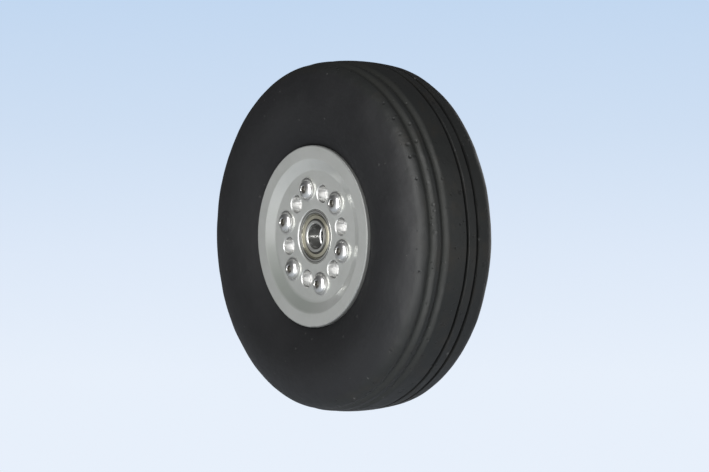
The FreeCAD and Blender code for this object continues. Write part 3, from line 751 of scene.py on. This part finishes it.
def make_lathe_tree():
    """Turns an outline about Y.  Points of the outline that carry a facet, rib or thread value
    are pressed to flats, ribs or a screw thread; sway lets moulded rings wander a little."""
    tree, given, out = new_tree("turn_outline", [
        ("Segments", "NodeSocketInt", 256), ("Flats", "NodeSocketInt", 6),
        ("Ribs", "NodeSocketInt", 24), ("Rib Depth", "NodeSocketFloat", 0.0),
        ("Pitch", "NodeSocketFloat", 0.00125), ("Thread Depth", "NodeSocketFloat", 0.0),
        ("Sway", "NodeSocketFloat", 0.0), ("Sway Scale", "NodeSocketFloat", 40.0),
        ("Material", "NodeSocketMaterial", None)])
    take = given.outputs
    count = link_new(tree, "GeometryNodeAttributeDomainSize", component="MESH",
                     Geometry=take["Geometry"]).outputs["Point Count"]
    grid = link_new(tree, "GeometryNodeMeshGrid", **{
        "Vertices X": math_node(tree, "ADD", take["Segments"], 1.0), "Vertices Y": count})
    index = tree.nodes.new("GeometryNodeInputIndex").outputs[0]
    step = math_node(tree, "MODULO", index, count)
    turn = math_node(tree, "FLOOR", math_node(tree, "DIVIDE", math_node(
        tree, "ADD", index, 0.5), count))
    angle = math_node(tree, "MULTIPLY", math_node(tree, "DIVIDE", turn, take["Segments"]),
                      2 * math.pi)

    def sampled(kind, value):
        return link_new(tree, "GeometryNodeSampleIndex", data_type=kind, domain="POINT",
                        Geometry=take["Geometry"], Index=step, Value=value).outputs[0]

    def carried(name):
        return sampled("FLOAT", link_new(tree, "GeometryNodeInputNamedAttribute",
                                         data_type="FLOAT", Name=name).outputs["Attribute"])

    place = sampled("FLOAT_VECTOR", tree.nodes.new("GeometryNodeInputPosition").outputs[0])
    parts = parts_of(tree, place)
    side = math_node(tree, "DIVIDE", 2 * math.pi, take["Flats"])
    half = math_node(tree, "MULTIPLY", side, 0.5)
    folded = math_node(tree, "SUBTRACT", math_node(
        tree, "MODULO", math_node(tree, "ADD", angle, half), side), half)
    flat = math_node(tree, "DIVIDE", math_node(tree, "COSINE", half),
                     math_node(tree, "COSINE", folded))
    squash = math_node(tree, "MULTIPLY_ADD", math_node(tree, "SUBTRACT", flat, 1.0),
                       carried("facet"), 1.0)
    wave = math_node(tree, "MULTIPLY_ADD", math_node(
        tree, "COSINE", math_node(tree, "MULTIPLY", angle, take["Ribs"])), -0.5, 0.5)
    ribbed = math_node(tree, "MULTIPLY", math_node(tree, "MULTIPLY", wave, take["Rib Depth"]),
                       carried("rib"))
    climb = math_node(tree, "ADD", math_node(tree, "DIVIDE", parts["Y"], take["Pitch"]),
                      math_node(tree, "DIVIDE", angle, 2 * math.pi))
    tooth = math_node(tree, "PINGPONG", climb, 0.5)
    cut = math_node(tree, "MULTIPLY", math_node(
        tree, "MULTIPLY", tooth, math_node(tree, "MULTIPLY", take["Thread Depth"], 2.0)),
        carried("thread"))
    radius = math_node(tree, "SUBTRACT", math_node(
        tree, "SUBTRACT", math_node(tree, "MULTIPLY", parts["X"], squash), ribbed), cut)
    x = math_node(tree, "MULTIPLY", radius, math_node(tree, "COSINE", angle))
    z = math_node(tree, "MULTIPLY", radius, math_node(tree, "SINE", angle))
    wander = link_new(tree, "ShaderNodeTexNoise", Scale=take["Sway Scale"], Detail=1.0,
                      Vector=vector_of(tree, X=x, Y=parts["Y"], Z=z))
    shift = math_node(tree, "MULTIPLY", math_node(
        tree, "SUBTRACT", wander.outputs["Fac"], 0.5), math_node(
        tree, "MULTIPLY", take["Sway"], carried("sway")))
    swayed = math_node(tree, "MULTIPLY_ADD", shift, 2.0, parts["Y"])
    moved = link_new(tree, "GeometryNodeSetPosition", Geometry=grid.outputs["Mesh"],
                     Position=vector_of(tree, X=x, Y=swayed, Z=z))
    merged = link_new(tree, "GeometryNodeMergeByDistance", Geometry=moved.outputs[0],
                      Distance=seam_gap)
    close_tree(tree, given, out, merged.outputs[0])
    return tree


lathe_tree = make_lathe_tree()
print("lathe tree nodes", len(lathe_tree.nodes))

# %% Run a tree on a mesh and keep the result as a plain piece


def piece_from(name, mesh, tree, values, sharp_above):
    """Runs the tree on the mesh once and returns the result as an object without modifiers."""
    source = placed(name + "_source", mesh)
    modifier = source.modifiers.new("nodes", "NODES")
    modifier.node_group = tree
    for label, value in values.items():
        modifier[socket_id(tree, label)] = value
    bpy.context.view_layer.update()
    graph = bpy.context.evaluated_depsgraph_get()
    result = bpy.data.meshes.new_from_object(source.evaluated_get(graph))
    source.modifiers.clear()
    bpy.data.objects.remove(source)
    return finished(name, result, sharp_above)


def finished(name, mesh, sharp_above):
    """Faces out, smooth except across sharp corners, and placed at the origin."""
    shape = bmesh.new()
    shape.from_mesh(mesh)
    bmesh.ops.recalc_face_normals(shape, faces=shape.faces)
    shape.to_mesh(mesh)
    shape.free()
    mesh.shade_smooth()
    mesh.set_sharp_from_angle(angle=math.radians(sharp_above))
    mesh.name = name
    print(name, len(mesh.polygons), "faces")
    return placed(name, mesh)


def outline_mesh(name, points, closed=True, **carried):
    """An outline of (radius, y) points in metres; carried values are one number for each point."""
    loop = points + points[:1] if closed else points
    mesh = bpy.data.meshes.new(name)
    mesh.from_pydata([(radius, y, 0) for radius, y in loop],
                     [(k, k + 1) for k in range(len(loop) - 1)], [])
    for label in ("facet", "rib", "thread", "sway"):
        values = carried.get(label, [0.0] * len(loop))
        values = values + values[:1] if len(values) < len(loop) else values
        layer = mesh.attributes.new(label, "FLOAT", "POINT")
        layer.data.foreach_set("value", values)
    return mesh


# %% The tyre's outline, from the same arcs as its solid
crown_arc = 153.0 * MM
shoulder_round = 14.3 * MM
shoulder_inset = 19.7 * MM
half_width = 42.0 * MM
seat_radius = 50.8 * MM
flange_radius = 67.0 * MM
flange_back = 30.4 * MM
lip_gap = 0.4 * MM
bead_gap = 0.05 * MM
bead_width = 11.0 * MM
toe_height = 4.0 * MM
heel = 1.5 * MM
carcass = 8.0 * MM
foot_height = 75.0 * MM
top_radius = 130.0 * MM
widest_radius = seat_radius + 0.57 * (top_radius - seat_radius)
shoulder_y = half_width - shoulder_inset
shoulder_rise = math.sqrt((crown_arc - shoulder_round) ** 2 - shoulder_y ** 2)
shoulder_centre = (top_radius - crown_arc + shoulder_rise, shoulder_y)
shoulder_height = shoulder_centre[0] - widest_radius
side_arc = ((shoulder_height ** 2 + shoulder_inset ** 2 - shoulder_round ** 2)
            / (2 * (shoulder_inset - shoulder_round)))
side_centre = (widest_radius, half_width - side_arc)
crown_tilt = math.atan2(shoulder_y, shoulder_rise)
shoulder_tilt = math.atan2(shoulder_y - side_centre[1], shoulder_height)
tread_end_tilt = math.radians(45)       # half way down the shoulder, where the tread ends
print("widest at radius", round(widest_radius / MM, 1), "mm")

# %% Points of the outline


def dip(y):
    """How deep the grooves are here, with their edges and floors rounded off."""
    deepest = 0.0
    for place, half, depth, floor_share in grooves:
        off = abs(y - place) / half
        slope = min(max((1.0 - off) / (1.0 - floor_share), 0.0), 1.0)
        eased = slope * slope * (3 - 2 * slope)
        deepest = max(deepest, depth * (0.55 * slope + 0.45 * eased))
    return deepest


def arc_points(centre, radius, first, last, step):
    """Points along an arc, evenly apart and no further than about one step."""
    count = max(2, round(abs(last - first) / step))
    tilts = [first + (last - first) * k / count for k in range(count + 1)]
    return [(centre[0] + radius * math.cos(tilt), centre[1] + radius * math.sin(tilt))
            for tilt in tilts]


def tread_radius(y):
    """The tread's radius at this place across it, before the grooves are pressed in."""
    if abs(y) <= crown_arc * math.sin(crown_tilt):
        return top_radius - crown_arc + math.sqrt(crown_arc ** 2 - y ** 2)
    return shoulder_centre[0] + math.sqrt(shoulder_round ** 2 - (abs(y) - shoulder_y) ** 2)


def tread_places():
    """Places across the tread, close together in the grooves and wider apart between them."""
    end = shoulder_y + shoulder_round * math.sin(tread_end_tilt)
    places = []
    y = -end
    while y < end:
        places.append(y)
        near = min(max(abs(y - place) - half, 0.0) for place, half, *_ in grooves)
        in_narrow = any(abs(y - place) < half * 1.2 for place, half, *_ in grooves
                        if half < wide_from)
        y += (0.22 if in_narrow else 0.42 if near < 0.6 * MM else 0.9) * MM
    return places + [end]


# %% Half of the outline


def half_outline():
    """From the end of the tread down the outside of one side, and up the inside."""
    lip = flange_radius + lip_gap
    seat = seat_radius + bead_gap
    toe = flange_back - bead_width
    foot = math.acos((lip - widest_radius) / side_arc)
    points = arc_points(shoulder_centre, shoulder_round, tread_end_tilt, shoulder_tilt,
                        math.radians(3))[1:]
    points += arc_points(side_centre, side_arc, shoulder_tilt, foot, math.radians(2))[1:]
    points += [(lip, flange_back), (seat + heel, flange_back), (seat, flange_back - heel),
               (seat, toe), (seat + toe_height, toe)]
    inner_foot = math.acos((foot_height - widest_radius) / (side_arc - carcass))
    points += arc_points(side_centre, side_arc - carcass, inner_foot, shoulder_tilt,
                         math.radians(12))
    points += arc_points(shoulder_centre, shoulder_round - carcass, shoulder_tilt, crown_tilt,
                         math.radians(20))[1:]
    return points


rear_half = half_outline()
front_half = [(radius, -y) for radius, y in reversed(rear_half)]
tread = [(tread_radius(y) - dip(y), y) for y in tread_places()]
tyre_outline = tread + rear_half + front_half
print("outline points", len(tyre_outline))

# %% Turn the tyre
sway_from, sway_full = 108 * MM, 120 * MM
outside = 12        # points next to the tread that still lie on the outside
tyre_sway = [min(max((radius - sway_from) / (sway_full - sway_from), 0.0), 1.0)
             if k < len(tread) + outside or k > len(tyre_outline) - outside else 0.0
             for k, (radius, y) in enumerate(tyre_outline)]
tyre = piece_from("tyre_moulding", outline_mesh("tyre_outline", tyre_outline, sway=tyre_sway),
                  lathe_tree, {"Segments": 288, "Sway": 0.8 * MM, "Sway Scale": 45.0,
                               "Material": rubber}, sharp_above=40.0)
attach(tyre, "wheel")
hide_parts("tyre")

# %% [markdown]
# ## Screws with real sockets and threads
# One screw is turned like any lathe part, but some rings of its outline are pressed to flats, and
# the last millimetres follow a helix.  A second tree then sets the six screws on their circle.

# %% A node tree that sets copies on a circle about the spin axis


def make_circle_tree():
    """Stands copies of a piece evenly on a circle, each turned with its place."""
    tree, given, out = new_tree("set_on_circle", [
        ("Count", "NodeSocketInt", 6), ("Circle Radius", "NodeSocketFloat", 0.03),
        ("First Angle", "NodeSocketFloat", 0.0), ("Material", "NodeSocketMaterial", None)])
    take = given.outputs
    index = tree.nodes.new("GeometryNodeInputIndex").outputs[0]
    angle = math_node(tree, "ADD", math_node(tree, "DIVIDE", math_node(
        tree, "MULTIPLY", index, 2 * math.pi), take["Count"]), take["First Angle"])
    place = vector_of(tree, X=math_node(tree, "MULTIPLY", take["Circle Radius"],
                                        math_node(tree, "COSINE", angle)),
                      Z=math_node(tree, "MULTIPLY", take["Circle Radius"],
                                  math_node(tree, "SINE", angle)))
    points = link_new(tree, "GeometryNodePoints", Count=take["Count"], Position=place)
    facing = vector_of(tree, Y=math_node(tree, "MULTIPLY", angle, -1.0))
    copies = link_new(tree, "GeometryNodeInstanceOnPoints", Points=points.outputs[0],
                      Instance=take["Geometry"], Rotation=facing)
    close_tree(tree, given, out, copies.outputs[0])
    return tree


circle_tree = make_circle_tree()
print("circle tree nodes", len(circle_tree.nodes))

# %% The screw's outline, from the middle of its socket round to its tip
head_top, head_dome, head_flange, flange_thick = 3.3 * MM, 7.3 * MM, 8.6 * MM, 1.1 * MM
socket_flat, socket_deep, socket_point = 2.5 * MM, 2.7 * MM, 1.4 * MM
shank_radius, screw_end, tip_chamfer = 3.95 * MM, 38.3 * MM, 0.8 * MM
thread_pitch, thread_depth, thread_from = 1.25 * MM, 0.55 * MM, 36.9 * MM
dome_swell = 0.85 * MM
crown = -(web_face + head_height)
flange_top = -(web_face + flange_thick)
corner = socket_flat / math.cos(math.pi / 6)


def dome_points(count):
    """The swollen cone of the button head, as a shallow circular arc in small steps."""
    points = []
    for k in range(count + 1):
        share = k / count
        swell = dome_swell * 4 * share * (1 - share)
        length = math.hypot(head_dome - head_top, crown - flange_top)
        points.append((head_top + (head_dome - head_top) * share
                       + swell * (flange_top - crown) / length,
                       crown + (flange_top - crown) * share
                       - swell * (head_dome - head_top) / length))
    return points


# (radius, place along the axis, how flat-sided, how threaded)
screw_outline = [(0.0, crown + socket_deep + socket_point, 0, 0),
                 (socket_flat * 0.96, crown + socket_deep, 0, 0),
                 (corner, crown + socket_deep - 0.05 * MM, 1, 0),
                 (corner, crown + 0.45 * MM, 1, 0), (corner + 0.12 * MM, crown + 0.2 * MM, 0.5, 0),
                 (corner + 0.30 * MM, crown, 0, 0)]
screw_outline += [(radius, y, 0, 0) for radius, y in dome_points(14)]
screw_outline += [(head_dome + 0.15 * MM, flange_top, 0, 0),
                  (head_flange - 0.35 * MM, flange_top, 0, 0),
                  (head_flange - 0.10 * MM, flange_top + 0.10 * MM, 0, 0),
                  (head_flange, flange_top + 0.35 * MM, 0, 0), (head_flange, -web_face, 0, 0),
                  (shank_radius, -web_face, 0, 0), (shank_radius, thread_from, 0, 0)]
thread_step = 0.1 * MM
thread_rows = int((screw_end - tip_chamfer - thread_from) / thread_step)
screw_outline += [(shank_radius, thread_from + thread_step * (k + 1), 0, min(1, (k + 1) / 3))
                  for k in range(thread_rows)]
screw_outline += [(shank_radius - 0.4 * MM, screw_end - 0.4 * MM, 0, 0.25),
                  (shank_radius - tip_chamfer, screw_end, 0, 0), (0.0, screw_end, 0, 0)]
screw_mesh = outline_mesh("screw_outline", [row[:2] for row in screw_outline], closed=False,
                          facet=[row[2] for row in screw_outline],
                          thread=[row[3] for row in screw_outline])
print("screw outline points", len(screw_outline))

# %% Turn one screw and set six of them
one_screw = piece_from("one_screw", screw_mesh, lathe_tree, {
    "Segments": 96, "Flats": 6, "Pitch": thread_pitch, "Thread Depth": thread_depth,
    "Material": screw_steel}, sharp_above=28.0)
screws = piece_from("screw_set", one_screw.data, circle_tree, {
    "Count": per_circle, "Circle Radius": screw_circle, "First Angle": first_screw,
    "Material": screw_steel}, sharp_above=28.0)
bpy.data.objects.remove(one_screw)
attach(screws, "wheel")
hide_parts("clamp_screws")

# %% [markdown]
# ## The ribbed valve cap
# A moulded cap is gripped with wet fingers, so it carries ribs.  Its outline is short: a closed
# end with a rounded rim, the ribbed wall, and a plain bore that slips over the stem.

# %% Turn the cap
cap_out, cap_wall_in = 4.75 * MM, 3.9 * MM
cap_start, cap_end, cap_thick = 28.8 * MM, 38.3 * MM, 1.8 * MM
valve_angle = first_pocket + 5 * math.pi / 3
# (radius, place along the axis, how ribbed)
cap_outline = [(0.0, cap_end - cap_thick, 0), (cap_wall_in, cap_end - cap_thick, 0),
               (cap_wall_in, cap_start, 0), (cap_out - 0.35 * MM, cap_start, 0),
               (cap_out, cap_start + 0.35 * MM, 0), (cap_out, cap_start + 1.0 * MM, 0),
               (cap_out, cap_start + 1.3 * MM, 1), (cap_out, cap_end - 1.7 * MM, 1),
               (cap_out, cap_end - 1.4 * MM, 0), (cap_out - 0.10 * MM, cap_end - 0.65 * MM, 0),
               (cap_out - 0.35 * MM, cap_end - 0.25 * MM, 0), (cap_out - MM, cap_end, 0),
               (0.0, cap_end, 0)]
cap_mesh = outline_mesh("cap_outline", [row[:2] for row in cap_outline], closed=False,
                        rib=[row[2] for row in cap_outline])
one_cap = piece_from("one_cap", cap_mesh, lathe_tree, {
    "Segments": 240, "Ribs": 24, "Rib Depth": 0.45 * MM, "Material": cap_plastic},
    sharp_above=40.0)
cap = piece_from("ribbed_cap", one_cap.data, circle_tree, {
    "Count": 1, "Circle Radius": pocket_circle, "First Angle": valve_angle,
    "Material": cap_plastic}, sharp_above=40.0)
bpy.data.objects.remove(one_cap)
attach(cap, "wheel")
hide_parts("valve_cap")

# %% [markdown]
# ## Close the lesson
# The colours are shown with the Standard view transform.

# %% Set the view transform
bpy.context.scene.view_settings.view_transform = "Standard"
